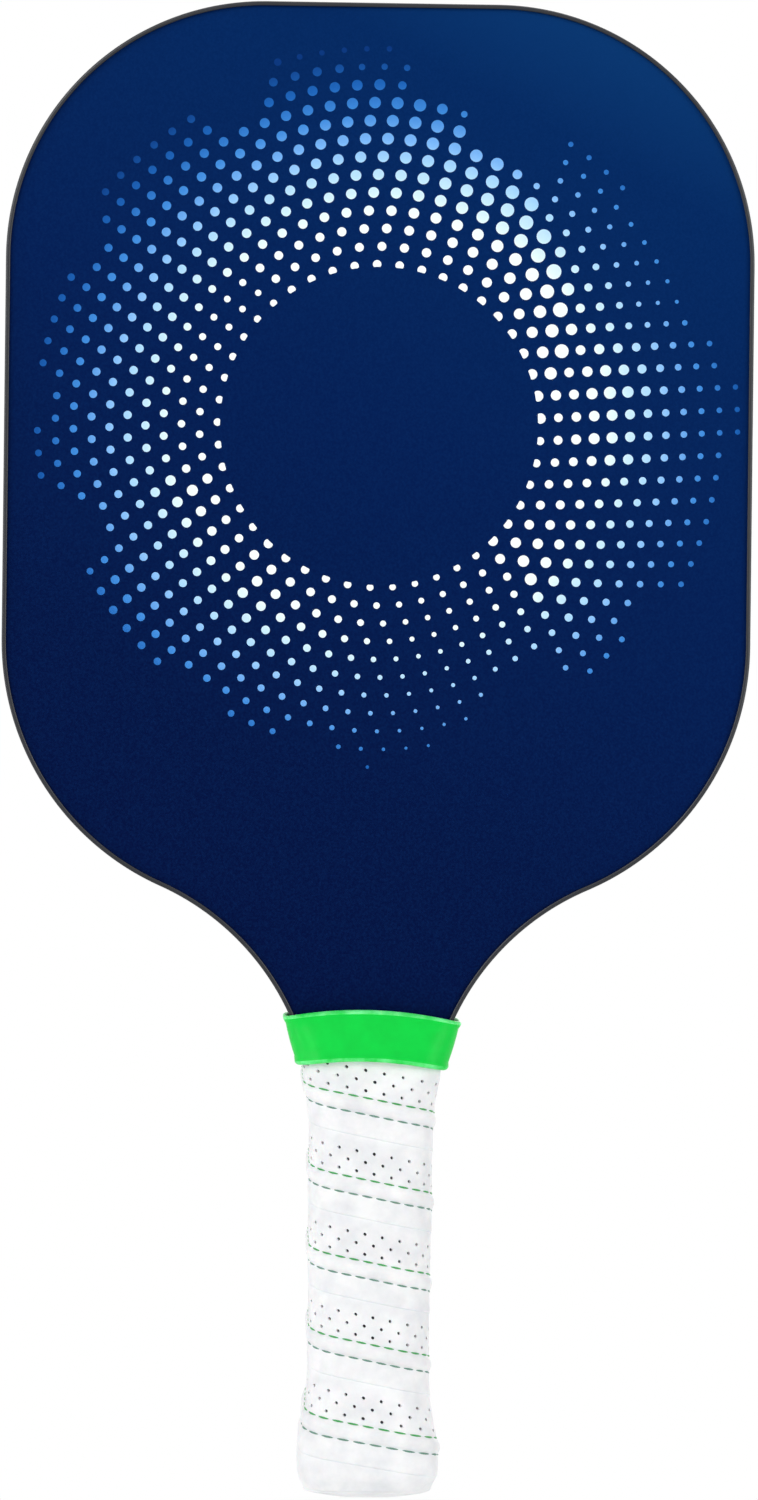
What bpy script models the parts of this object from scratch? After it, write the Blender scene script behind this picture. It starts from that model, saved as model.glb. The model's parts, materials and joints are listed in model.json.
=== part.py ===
"""Pickleball paddle with an edge guard, a wrapped handle and a silicone throat collar.

Frame: metres, +Z from the butt to the head, the front face towards -Y, +X to the front's
right. The origin is the centre of the butt cap's flat end.

The panel is a honeycomb core between two skins, all three cut to one outline that runs down
into the handle as a tongue. Every outline is the same set of arcs at a different inset, and
every sleeve on the handle is the handle's own section at a different offset.
"""

import math

import bmesh
import bpy
from mathutils import Matrix, Vector

# Driving dimensions: outline of the paddle, measured over the edge guard.
OVERALL_LENGTH = 0.4045
HEAD_WIDTH = 0.2028
HEAD_CORNER_RADIUS = 0.070
SHOULDER_RADIUS = 0.0725
NECK_RADIUS = 0.070
NECK_FOOT_HEIGHT = 0.1007
TONGUE_WIDTH = 0.032

# Panel: a core and two skins, with a glue line on each side of the core.
CORE_THICKNESS = 0.013
SKIN_THICKNESS = 0.0008
GLUE_LINE = 0.0003
CELL_PITCH = 0.016
CELL_WALL = 0.0012
CORE_RIM = 0.0015
HEXAGON = 6

# Edge guard: a channel around the panel, open at the neck.
GUARD_WALL = 0.0007
GUARD_LIP_REACH = 0.0018
GUARD_LIP_THICKNESS = 0.0007
GUARD_ROUNDING = 0.0005
GUARD_CLEARANCE = 0.0003
GUARD_END_HEIGHT = 0.118

# Handle: two foam pallets on the tongue, wedge-shaped at the throat.
HANDLE_DEPTH = 0.0274
HANDLE_CORNER_RADIUS = 0.0058
RAMP_FOOT_HEIGHT = 0.110
RAMP_TOP_HEIGHT = 0.129
RAMP_TIP_THICKNESS = 0.0008
FIT_GAP = 0.0003

# Butt cap: a moulded cup, flared outside, with a flange under the grip's lower edge.
CAP_FLOOR = 0.003
CAP_HEIGHT = 0.027
CAP_END_HALF_WIDTH = 0.0092
CAP_END_HALF_DEPTH = 0.0082
CAP_END_CORNER_RADIUS = 0.006
CAP_FLANGE_OFFSET = 0.0024
CAP_FLANGE_FOOT = 0.0022
CAP_FLANGE_TOP = 0.0027
CAP_FLARE = ((CAP_FLANGE_TOP, 0.0010), (0.0046, 0.0020), (0.0073, 0.0029), (0.0127, 0.0029),
             (0.0165, 0.0024), (0.0208, 0.0015), (CAP_HEIGHT, 0.0009))

# Staples that hold the butt cap on the pallets; their tips stop in the foam.
STAPLE_HEIGHT = 0.0105
STAPLE_CROWN = 0.010
STAPLE_TIP_COVER = 0.0019
STAPLE_WIRE_RADIUS = 0.00045
STAPLE_SINK = 0.0001

# Grip sleeve: wall at a few heights, thicker where the first turns of the strip overlap.
GRIP_TOP_HEIGHT = 0.1175
GRIP_WALL = ((CAP_FLANGE_TOP, 0.0014), (CAP_HEIGHT, 0.0012), (0.1000, 0.00125),
             (0.1080, 0.0015), (0.1130, 0.0019), (GRIP_TOP_HEIGHT, 0.0013))

# Finishing tape: a thin band over the grip's upper end and the ends of the guard.
TAPE_FOOT_HEIGHT = 0.1170
TAPE_SHOULDER_HEIGHT = 0.1210
TAPE_TOP_HEIGHT = 0.1260
TAPE_THICKNESS = 0.0003
THROAT_CORNER_RADIUS = 0.0006
THROAT_CORNER_GAIN = 1.0

# Throat collar: a stretched silicone band with a rolled rim at each end.
COLLAR_FOOT_HEIGHT = 0.1166
COLLAR_TOP_HEIGHT = 0.1304
COLLAR_WALL = 0.0007
COLLAR_RIM = 0.0010
COLLAR_RIM_HEIGHT = 0.0012

# Facets: arcs of the outline, corners of the handle's section, wire.
DEGREES_PER_STEP = 5.0
CORNER_STEPS = 4
WIRE_RESOLUTION = 2
ROUNDING_RESOLUTION = 1
SHARP_ANGLE = 30.0
WELD_DISTANCE = 1e-6

# Reach of a cutter past what it cuts.
LONG = 0.1

# Sizes that follow from the values above.
PANEL_INSET = GUARD_WALL + GUARD_CLEARANCE
TONGUE_HALF_WIDTH = TONGUE_WIDTH / 2 - PANEL_INSET
SKIN_INNER = CORE_THICKNESS / 2 + GLUE_LINE
SKIN_OUTER = SKIN_INNER + SKIN_THICKNESS
PANEL_FOOT_HEIGHT = CAP_FLOOR + FIT_GAP
LIP_INNER = SKIN_OUTER + GUARD_CLEARANCE
LIP_OUTER = LIP_INNER + GUARD_LIP_THICKNESS
PALLET_INNER = SKIN_OUTER + GLUE_LINE
PALLET_TIP = PALLET_INNER + RAMP_TIP_THICKNESS
GRIP_FOOT_HEIGHT = CAP_FLANGE_TOP + FIT_GAP


def clear_scene():
    """Remove every object, so that the scene holds only the paddle."""
    for scene_object in list(bpy.data.objects):
        bpy.data.objects.remove(scene_object, do_unlink=True)


def new_collection(name):
    """Add a collection to the scene."""
    collection = bpy.data.collections.new(name)
    bpy.context.scene.collection.children.link(collection)
    return collection


def new_material(name, colour, roughness, metallic=0.0):
    """Add a plain Principled material."""
    material = bpy.data.materials.new(name)
    material.use_nodes = True
    shader = material.node_tree.nodes["Principled BSDF"]
    shader.inputs["Base Color"].default_value = (*colour, 1.0)
    shader.inputs["Roughness"].default_value = roughness
    shader.inputs["Metallic"].default_value = metallic
    return material


def finish_piece(piece, name, material, collection):
    """Name a piece, give it its material and move it to its collection."""
    piece.name = name
    piece.data.name = name
    piece.data.materials.clear()
    piece.data.materials.append(material)
    for owner in list(piece.users_collection):
        owner.objects.unlink(piece)
    collection.objects.link(piece)
    piece.data.shade_smooth()
    piece.data.set_sharp_from_angle(angle=math.radians(SHARP_ANGLE))
    return piece


def interpolate(table, height):
    """Read a table of (height, value) pairs at a height, level beyond its ends."""
    if height <= table[0][0]:
        return table[0][1]
    for (low, low_value), (high, high_value) in zip(table, table[1:]):
        if height <= high:
            share = (height - low) / (high - low)
            return low_value + share * (high_value - low_value)
    return table[-1][1]


# Outline of the paddle


def arc(centre, radius, start, end):
    """Points of an arc in the X-Z plane, both ends included, angles in degrees."""
    steps = max(2, math.ceil(abs(end - start) / DEGREES_PER_STEP))
    points = []
    for step in range(steps + 1):
        angle = math.radians(start + (end - start) * step / steps)
        points.append((centre[0] + radius * math.cos(angle), centre[1] + radius * math.sin(angle)))
    return points


def outline_centres():
    """Centres of the neck, shoulder and head corner arcs of the right half."""
    neck = (TONGUE_WIDTH / 2 + NECK_RADIUS, NECK_FOOT_HEIGHT)
    shoulder_x = HEAD_WIDTH / 2 - SHOULDER_RADIUS
    rise = math.sqrt((NECK_RADIUS + SHOULDER_RADIUS) ** 2 - (neck[0] - shoulder_x) ** 2)
    shoulder = (shoulder_x, NECK_FOOT_HEIGHT + rise)
    corner = (HEAD_WIDTH / 2 - HEAD_CORNER_RADIUS, OVERALL_LENGTH - HEAD_CORNER_RADIUS)
    return neck, shoulder, corner


def paddle_outline(inset, foot_height):
    """Closed outline of the paddle, drawn in by an inset, from a foot in the handle."""
    neck, shoulder, corner = outline_centres()
    turn = math.degrees(math.atan2(shoulder[1] - neck[1], neck[0] - shoulder[0]))
    half = [(TONGUE_WIDTH / 2 - inset, foot_height)]
    half += arc(neck, NECK_RADIUS + inset, 180.0, 180.0 - turn)
    half += arc(shoulder, SHOULDER_RADIUS - inset, -turn, 0.0)[1:]
    half += arc(corner, HEAD_CORNER_RADIUS - inset, 0.0, 90.0)
    mirrored = [(-x, z) for x, z in reversed(half)]
    return half + mirrored


def neck_half_width(height, inset):
    """Half the width of the outline at a height below the shoulder."""
    neck = outline_centres()[0]
    rise = max(0.0, height - NECK_FOOT_HEIGHT)
    return neck[0] - math.sqrt((NECK_RADIUS + inset) ** 2 - rise ** 2)


# Solid makers


def mesh_object(name, mesh_data):
    """Put a bmesh in a new object with its faces pointing out."""
    bmesh.ops.recalc_face_normals(mesh_data, faces=mesh_data.faces)
    mesh = bpy.data.meshes.new(name)
    mesh_data.to_mesh(mesh)
    mesh_data.free()
    solid = bpy.data.objects.new(name, mesh)
    bpy.context.scene.collection.objects.link(solid)
    return solid


def curve_to_solid(curve_object):
    """Turn a filled or bevelled curve into a welded mesh object in the same place."""
    bpy.context.view_layer.update()
    depsgraph = bpy.context.evaluated_depsgraph_get()
    mesh = bpy.data.meshes.new_from_object(curve_object.evaluated_get(depsgraph))
    mesh_data = bmesh.new()
    mesh_data.from_mesh(mesh)
    bmesh.ops.remove_doubles(mesh_data, verts=mesh_data.verts, dist=WELD_DISTANCE)
    bpy.data.meshes.remove(mesh)
    mesh_data.transform(curve_object.matrix_world)
    solid = mesh_object(curve_object.name, mesh_data)
    bpy.data.objects.remove(curve_object, do_unlink=True)
    return solid


def plate(name, outlines, front, back, rounding=0.0):
    """Flat plate between two Y from closed outlines in the X-Z plane, later ones being holes.

    A rounding adds a rounded border of that width around the outline.
    """
    curve = bpy.data.curves.new(name, "CURVE")
    curve.dimensions = "2D"
    curve.fill_mode = "BOTH"
    curve.extrude = (back - front) / 2 - rounding
    curve.bevel_depth = rounding
    curve.bevel_resolution = ROUNDING_RESOLUTION
    for outline in outlines:
        spline = curve.splines.new("POLY")
        spline.points.add(len(outline) - 1)
        for point, (x, z) in zip(spline.points, outline):
            point.co = (x, z, 0.0, 1.0)
        spline.use_cyclic_u = True
    curve_object = bpy.data.objects.new(name, curve)
    curve_object.location.y = (front + back) / 2
    curve_object.rotation_euler.x = math.radians(90)
    bpy.context.scene.collection.objects.link(curve_object)
    return curve_to_solid(curve_object)


def box(name, low, high):
    """Axis-aligned box from a low corner to a high corner."""
    mesh_data = bmesh.new()
    size = [high[axis] - low[axis] for axis in range(3)]
    centre = [(high[axis] + low[axis]) / 2 for axis in range(3)]
    matrix = Matrix.Translation(centre) @ Matrix.Diagonal((*size, 1.0))
    bmesh.ops.create_cube(mesh_data, size=1.0, matrix=matrix)
    return mesh_object(name, mesh_data)


def wire(name, points, radius):
    """Round wire with closed ends through a few points."""
    curve = bpy.data.curves.new(name, "CURVE")
    curve.dimensions = "3D"
    curve.bevel_depth = radius
    curve.bevel_resolution = WIRE_RESOLUTION
    curve.use_fill_caps = True
    spline = curve.splines.new("POLY")
    spline.points.add(len(points) - 1)
    for point, place in zip(spline.points, points):
        point.co = (*place, 1.0)
    curve_object = bpy.data.objects.new(name, curve)
    bpy.context.scene.collection.objects.link(curve_object)
    return curve_to_solid(curve_object)


def section_ring(section, height):
    """Rounded rectangle (half width, half depth, corner radius) as points at a height."""
    half_width, half_depth, radius = section
    ring = []
    for corner, (side_x, side_y) in enumerate(((1, 1), (-1, 1), (-1, -1), (1, -1))):
        centre_x = side_x * (half_width - radius)
        centre_y = side_y * (half_depth - radius)
        for step in range(CORNER_STEPS + 1):
            angle = math.radians(90 * corner + 90 * step / CORNER_STEPS)
            ring.append(Vector((centre_x + radius * math.cos(angle),
                                centre_y + radius * math.sin(angle), height)))
    return ring


def loft(name, rings, closed):
    """Skin a stack of rings: a sleeve when closed on itself, or a solid with both ends capped."""
    mesh_data = bmesh.new()
    rows = [[mesh_data.verts.new(point) for point in ring] for ring in rings]
    pairs = list(zip(rows, rows[1:]))
    if closed:
        pairs.append((rows[-1], rows[0]))
    for low, high in pairs:
        for index in range(len(low)):
            following = (index + 1) % len(low)
            mesh_data.faces.new((low[index], low[following], high[following], high[index]))
    if not closed:
        mesh_data.faces.new(rows[0])
        mesh_data.faces.new(rows[-1])
    return mesh_object(name, mesh_data)


def sleeve(name, heights, inner, outer):
    """Sleeve between two sections that change with height."""
    rings = [section_ring(outer(height), height) for height in heights]
    rings += [section_ring(inner(height), height) for height in reversed(heights)]
    return loft(name, rings, closed=True)


def cut(solid, cutter, cutters):
    """Subtract a cutter from a solid and keep the cutter out of sight."""
    modifier = solid.modifiers.new("Cut", "BOOLEAN")
    modifier.operation = "DIFFERENCE"
    modifier.solver = "EXACT"
    modifier.object = cutter
    cutter.hide_render = True
    cutter.display_type = "WIRE"
    for owner in list(cutter.users_collection):
        owner.objects.unlink(cutter)
    cutters.objects.link(cutter)


# Sections of the handle at a height: (half width, half depth, corner radius)


def offset_section(section, offset):
    """Section moved outwards by an offset, with its corners kept parallel."""
    return tuple(size + offset for size in section)


def pallet_half_depth(height):
    """Half the depth over both pallets, falling to the tip of the ramp at the throat."""
    ramp = ((RAMP_FOOT_HEIGHT, HANDLE_DEPTH / 2), (RAMP_TOP_HEIGHT, PALLET_TIP))
    return interpolate(ramp, height)


def pallet_section(height):
    """Section over the pallets, as wide as the tongue and rounded no deeper than a pallet."""
    half_depth = pallet_half_depth(height)
    return TONGUE_HALF_WIDTH, half_depth, min(HANDLE_CORNER_RADIUS, half_depth - PALLET_INNER)


def handle_section(height):
    """Section over the pallets and the panel, which widens into the neck."""
    return (neck_half_width(height, PANEL_INSET), *pallet_section(height)[1:])


def cap_section(height):
    """Outside of the butt cap above its flange."""
    return offset_section(handle_section(height), interpolate(CAP_FLARE, height))


def grip_inner(height):
    """Inside of the grip: over the butt cap where there is one, and over the handle above it."""
    over_cap = height <= CAP_HEIGHT + FIT_GAP
    under = cap_section(height) if over_cap else handle_section(height)
    return offset_section(under, FIT_GAP)


def grip_outer(height):
    """Outside of the grip."""
    return offset_section(grip_inner(height), interpolate(GRIP_WALL, height))


def throat_section(height):
    """Section that clears the guard's ends and the pallets' ramp."""
    half_depth = max(pallet_half_depth(height), LIP_OUTER)
    radius = THROAT_CORNER_RADIUS + THROAT_CORNER_GAIN * (half_depth - LIP_OUTER)
    return neck_half_width(height, 0.0), half_depth, radius


def blend(first, second, share):
    """Section part of the way from one section to another."""
    return tuple(a + share * (b - a) for a, b in zip(first, second))


def tape_inner(height):
    """Inside of the finishing tape: over the grip's end, then down to the throat."""
    over_grip = offset_section(grip_outer(min(height, GRIP_TOP_HEIGHT)), FIT_GAP)
    over_throat = offset_section(throat_section(max(height, TAPE_SHOULDER_HEIGHT)), FIT_GAP)
    slope = ((GRIP_TOP_HEIGHT + FIT_GAP, 0.0), (TAPE_SHOULDER_HEIGHT, 1.0))
    return blend(over_grip, over_throat, interpolate(slope, height))


def tape_outer(height):
    """Outside of the finishing tape."""
    return offset_section(tape_inner(height), TAPE_THICKNESS)


def collar_inner(height):
    """Inside of the collar: over the tape, then close around the neck above it."""
    over_tape = offset_section(tape_outer(min(height, TAPE_TOP_HEIGHT)), FIT_GAP)
    over_neck = offset_section(throat_section(COLLAR_TOP_HEIGHT), FIT_GAP)
    slope = ((TAPE_TOP_HEIGHT + FIT_GAP, 0.0), (COLLAR_TOP_HEIGHT, 1.0))
    return blend(over_tape, over_neck, interpolate(slope, height))


def collar_outer(height):
    """Outside of the collar, thicker at its two rolled rims."""
    wall = ((COLLAR_FOOT_HEIGHT + COLLAR_RIM_HEIGHT, COLLAR_RIM),
            (COLLAR_FOOT_HEIGHT + 2 * COLLAR_RIM_HEIGHT, COLLAR_WALL),
            (COLLAR_TOP_HEIGHT - 2 * COLLAR_RIM_HEIGHT, COLLAR_WALL),
            (COLLAR_TOP_HEIGHT - COLLAR_RIM_HEIGHT, COLLAR_RIM))
    return offset_section(collar_inner(height), interpolate(wall, height))


# Pieces


def inside(point, polygon):
    """Tell whether a point lies inside a closed polygon, by counting crossings."""
    crossings = 0
    for (x1, z1), (x2, z2) in zip(polygon, polygon[1:] + polygon[:1]):
        if (z1 > point[1]) != (z2 > point[1]):
            crossing_x = x1 + (point[1] - z1) / (z2 - z1) * (x2 - x1)
            crossings += crossing_x > point[0]
    return crossings % 2 == 1


def honeycomb_cells(boundary):
    """Hexagonal cells on a staggered grid, kept where a whole cell fits in the boundary."""
    row_pitch = CELL_PITCH * math.sqrt(3) / 2
    radius = (CELL_PITCH - CELL_WALL) / math.sqrt(3)
    rows = math.ceil(OVERALL_LENGTH / row_pitch)
    columns = math.ceil(HEAD_WIDTH / 2 / CELL_PITCH)
    cells = []
    for row in range(rows):
        for column in range(-columns, columns + 1):
            centre_x = (column + (row % 2) / 2) * CELL_PITCH
            centre_z = PANEL_FOOT_HEIGHT + CORE_RIM + radius + row * row_pitch
            cell = []
            for corner in range(HEXAGON):
                angle = math.radians(90 + 360 / HEXAGON * corner)
                cell.append((centre_x + radius * math.cos(angle),
                             centre_z + radius * math.sin(angle)))
            if all(inside(point, boundary) for point in cell):
                cells.append(cell)
    return cells


def make_core():
    """Honeycomb core with its cells open through the thickness."""
    outline = paddle_outline(PANEL_INSET, PANEL_FOOT_HEIGHT)
    boundary = paddle_outline(PANEL_INSET + CORE_RIM, PANEL_FOOT_HEIGHT + CORE_RIM)
    half = CORE_THICKNESS / 2
    return plate("honeycomb_core", [outline] + honeycomb_cells(boundary), -half, half)


def make_skin(side):
    """Face skin on the front (-1) or the back (1) of the core."""
    outline = paddle_outline(PANEL_INSET, PANEL_FOOT_HEIGHT)
    near, far = sorted((side * SKIN_INNER, side * SKIN_OUTER))
    return plate("face_skin", [outline], near, far)


def make_edge_guard(cutters):
    """Channel around the panel: a slab, less the panel's room, the face window and the neck."""
    outline = paddle_outline(GUARD_ROUNDING, NECK_FOOT_HEIGHT - LONG)
    guard = plate("edge_guard", [outline], -LIP_OUTER, LIP_OUTER, GUARD_ROUNDING)
    foot = NECK_FOOT_HEIGHT - LONG / 2
    room = plate("guard_room", [paddle_outline(GUARD_WALL, foot)], -LIP_INNER, LIP_INNER)
    window = plate("guard_window", [paddle_outline(GUARD_LIP_REACH, foot)],
                   -2 * LIP_OUTER, 2 * LIP_OUTER)
    neck = box("guard_neck", (-LONG, -LONG, foot - LONG), (LONG, LONG, GUARD_END_HEIGHT))
    for cutter in (neck, room, window):
        cut(guard, cutter, cutters)
    return guard


def staple_path(side):
    """Path of a staple on the front (-1) or the back (1), legs pointing into the handle."""
    crown_depth = cap_section(STAPLE_HEIGHT)[1] - STAPLE_SINK - STAPLE_WIRE_RADIUS
    tip_depth = PALLET_INNER + STAPLE_TIP_COVER
    half = STAPLE_CROWN / 2
    corners = ((-half, tip_depth), (-half, crown_depth), (half, crown_depth), (half, tip_depth))
    return [(x, side * y, STAPLE_HEIGHT) for x, y in corners]


def make_staple(side):
    """Wire staple through the butt cap into a pallet."""
    return wire("staple", staple_path(side), STAPLE_WIRE_RADIUS)


def make_staple_cutter(side):
    """Room for a staple, a gap wider all round and a gap longer at its tips."""
    path = staple_path(side)
    stretch = Vector((0.0, side * FIT_GAP, 0.0))
    path[0] = Vector(path[0]) - stretch
    path[3] = Vector(path[3]) - stretch
    return wire("staple_room", path, STAPLE_WIRE_RADIUS + FIT_GAP)


def make_pallet(side, cutters):
    """Foam pallet on the front (-1) or the back (1) of the tongue."""
    heights = (PANEL_FOOT_HEIGHT, RAMP_FOOT_HEIGHT, RAMP_TOP_HEIGHT)
    rings = [section_ring(pallet_section(height), height) for height in heights]
    pallet = loft("pallet", rings, closed=False)
    near, far = sorted((side * PALLET_INNER, -side * LONG))
    cut(pallet, box("pallet_room", (-LONG, near, -LONG), (LONG, far, 2 * LONG)), cutters)
    cut(pallet, make_staple_cutter(side), cutters)
    return pallet


def make_butt_cap(cutters):
    """Flared cup on the handle's end, with its floor towards the butt."""
    end = (CAP_END_HALF_WIDTH, CAP_END_HALF_DEPTH, CAP_END_CORNER_RADIUS)
    flange = offset_section(handle_section(0.0), CAP_FLANGE_OFFSET)
    room = offset_section(handle_section(0.0), FIT_GAP)
    rings = [section_ring(end, 0.0)]
    rings += [section_ring(flange, height) for height in (CAP_FLANGE_FOOT, CAP_FLANGE_TOP)]
    rings += [section_ring(cap_section(height), height) for height, _ in CAP_FLARE]
    rings += [section_ring(room, height) for height in (CAP_HEIGHT, CAP_FLOOR)]
    cap = loft("butt_cap", rings, closed=False)
    for side in (-1, 1):
        cut(cap, make_staple_cutter(side), cutters)
    return cap


def make_grip():
    """Plain sleeve of the wound grip strip."""
    table_heights = {height for height, _ in CAP_FLARE + GRIP_WALL}
    neck_heights = {NECK_FOOT_HEIGHT, RAMP_FOOT_HEIGHT}
    cap_end = {CAP_HEIGHT + FIT_GAP, CAP_HEIGHT + 2 * FIT_GAP}
    ends = {GRIP_FOOT_HEIGHT, GRIP_TOP_HEIGHT}
    heights = sorted(table_heights | neck_heights | cap_end | ends)
    heights = [height for height in heights if GRIP_FOOT_HEIGHT <= height <= GRIP_TOP_HEIGHT]
    return sleeve("grip_wrap", heights, grip_inner, grip_outer)


def make_tape():
    """Thin band that ends the grip."""
    heights = [TAPE_FOOT_HEIGHT, GRIP_TOP_HEIGHT + FIT_GAP, TAPE_SHOULDER_HEIGHT]
    heights += [(TAPE_SHOULDER_HEIGHT + TAPE_TOP_HEIGHT) / 2, TAPE_TOP_HEIGHT]
    return sleeve("finishing_tape", heights, tape_inner, tape_outer)


def make_collar():
    """Silicone collar over the tape and the neck."""
    foot = [COLLAR_FOOT_HEIGHT + step * COLLAR_RIM_HEIGHT for step in range(3)]
    top = [COLLAR_TOP_HEIGHT - step * COLLAR_RIM_HEIGHT for step in range(3)]
    middle = [TAPE_SHOULDER_HEIGHT, (TAPE_SHOULDER_HEIGHT + TAPE_TOP_HEIGHT) / 2]
    middle += [TAPE_TOP_HEIGHT, TAPE_TOP_HEIGHT + FIT_GAP]
    return sleeve("throat_collar", sorted(foot + middle + top), collar_inner, collar_outer)


def main():
    """Build every piece of the paddle."""
    clear_scene()
    paddle = new_collection("pickleball_paddle")
    cutters = new_collection("cutters")
    polypropylene = new_material("polypropylene_core", (0.80, 0.80, 0.77), 0.55)
    navy = new_material("navy_printed_fibreglass", (0.002, 0.019, 0.100), 0.45)
    guard_plastic = new_material("black_guard_plastic", (0.020, 0.021, 0.024), 0.40)
    foam = new_material("handle_foam", (0.30, 0.29, 0.27), 0.85)
    white_plastic = new_material("white_cap_plastic", (0.85, 0.85, 0.86), 0.45)
    steel = new_material("staple_steel", (0.60, 0.60, 0.62), 0.30, metallic=1.0)
    grip_white = new_material("white_grip", (0.88, 0.88, 0.89), 0.60)
    tape_black = new_material("tape_black", (0.020, 0.020, 0.020), 0.50)
    silicone = new_material("green_silicone", (0.0, 0.75, 0.07), 0.45)

    finish_piece(make_core(), "honeycomb_core", polypropylene, paddle)
    finish_piece(make_skin(-1), "front_face_skin", navy, paddle)
    finish_piece(make_skin(1), "back_face_skin", navy, paddle)
    finish_piece(make_edge_guard(cutters), "edge_guard", guard_plastic, paddle)
    finish_piece(make_pallet(-1, cutters), "handle_pallet_front", foam, paddle)
    finish_piece(make_pallet(1, cutters), "handle_pallet_back", foam, paddle)
    finish_piece(make_butt_cap(cutters), "butt_cap", white_plastic, paddle)
    finish_piece(make_staple(-1), "butt_staple_front", steel, paddle)
    finish_piece(make_staple(1), "butt_staple_back", steel, paddle)
    finish_piece(make_grip(), "grip_wrap", grip_white, paddle)
    finish_piece(make_tape(), "finishing_tape", tape_black, paddle)
    finish_piece(make_collar(), "throat_collar", silicone, paddle)


main()
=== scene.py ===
"""Looks of a pickleball paddle: printed faces, edge guard, stitched grip, butt cap and collar.

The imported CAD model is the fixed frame. Each sub-assembly is a class that builds fine meshes
in that frame's coordinates (metres, +Z from butt to head, the front face towards -Y) and
dresses them in the finish of a real material.
"""

import json
import logging
import math
from dataclasses import dataclass
from enum import Enum

import bmesh
import bpy
from mathutils import Matrix, Vector
from mathutils.geometry import delaunay_2d_cdt

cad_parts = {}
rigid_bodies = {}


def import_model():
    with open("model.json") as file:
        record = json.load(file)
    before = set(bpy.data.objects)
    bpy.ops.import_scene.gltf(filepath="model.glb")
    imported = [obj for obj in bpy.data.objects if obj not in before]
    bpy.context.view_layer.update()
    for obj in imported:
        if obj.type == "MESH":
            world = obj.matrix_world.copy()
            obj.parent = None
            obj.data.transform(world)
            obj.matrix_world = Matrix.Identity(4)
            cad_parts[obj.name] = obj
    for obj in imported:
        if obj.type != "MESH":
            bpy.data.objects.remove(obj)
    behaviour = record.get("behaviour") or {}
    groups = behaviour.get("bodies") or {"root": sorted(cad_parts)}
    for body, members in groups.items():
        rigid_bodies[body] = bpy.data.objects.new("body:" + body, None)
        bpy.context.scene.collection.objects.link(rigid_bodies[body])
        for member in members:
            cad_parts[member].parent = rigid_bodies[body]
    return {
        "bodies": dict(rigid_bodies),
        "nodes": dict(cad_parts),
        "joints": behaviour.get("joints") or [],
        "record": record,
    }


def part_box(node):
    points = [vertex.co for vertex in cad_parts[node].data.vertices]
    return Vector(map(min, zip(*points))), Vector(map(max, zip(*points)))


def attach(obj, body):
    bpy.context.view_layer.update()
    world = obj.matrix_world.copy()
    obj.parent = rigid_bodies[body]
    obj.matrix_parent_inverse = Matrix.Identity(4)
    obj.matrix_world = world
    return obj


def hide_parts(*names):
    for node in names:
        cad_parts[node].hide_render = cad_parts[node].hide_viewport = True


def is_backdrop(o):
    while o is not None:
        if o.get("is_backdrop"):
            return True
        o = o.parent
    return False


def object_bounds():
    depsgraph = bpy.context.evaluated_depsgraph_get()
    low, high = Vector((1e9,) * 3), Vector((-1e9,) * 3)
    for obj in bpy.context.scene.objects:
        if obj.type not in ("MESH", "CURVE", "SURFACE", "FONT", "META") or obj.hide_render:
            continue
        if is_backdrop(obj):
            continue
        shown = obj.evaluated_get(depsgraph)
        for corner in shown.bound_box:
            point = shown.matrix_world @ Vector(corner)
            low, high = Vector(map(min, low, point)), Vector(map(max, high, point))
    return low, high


LOG = logging.getLogger("paddle")
ROOT = "root"
MM = 0.001


class Side(Enum):
    """The two faces of the paddle, by the sign of their Y."""

    FRONT = -1
    BACK = 1


# Node materials


def linear(hex_colour: str) -> tuple:
    """Turn an sRGB hex colour into linear RGBA.

    Args:
        hex_colour: six hex digits, with or without a leading #.

    Returns:
        Linear red, green, blue and an alpha of 1.
    """
    digits = hex_colour.lstrip("#")
    channels = []
    for start in (0, 2, 4):
        value = int(digits[start:start + 2], 16) / 255
        low = value / 12.92
        high = ((value + 0.055) / 1.055) ** 2.4
        channels.append(low if value <= 0.04045 else high)
    return (*channels, 1.0)


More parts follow.
